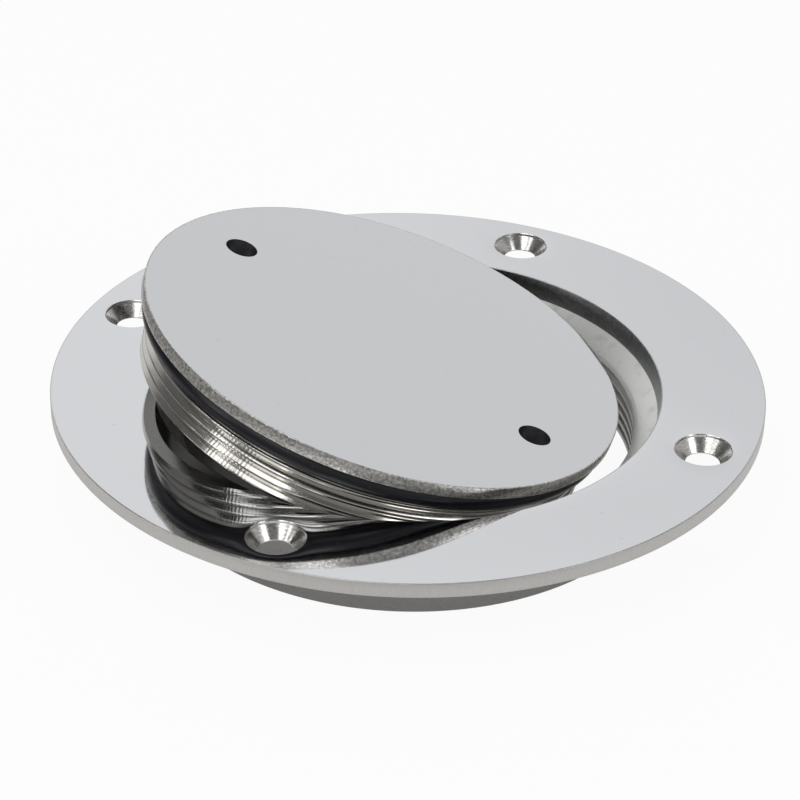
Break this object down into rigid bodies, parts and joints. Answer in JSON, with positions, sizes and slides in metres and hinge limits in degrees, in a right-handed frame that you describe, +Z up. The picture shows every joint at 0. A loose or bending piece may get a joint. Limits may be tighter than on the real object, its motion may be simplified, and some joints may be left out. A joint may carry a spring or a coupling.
{
  "type": "deck inspection plate",
  "caption": "Round polished flange with countersunk screw holes and a threaded collar; its threaded disc lid with an O-ring lies tilted, half out of the opening.",
  "frame": {"origin": "centre of the screw circle on the flange's underside, the plane that lies on the deck", "axes": "+Z up along the ring's axis, out of the deck; +X through one screw hole and +Y through the next"},
  "size_m": [0.125, 0.125, 0.0383],
  "materials": {
    "stainless": "mirror-polished stainless steel on the faces, satin as turned on edges, thread and collar",
    "rubber": "smooth black seal rubber"
  },
  "bodies": {
    "root": {"deck_ring": "stainless", "lid": "stainless", "lid_oring": "rubber"}
  },
  "joints": []
}
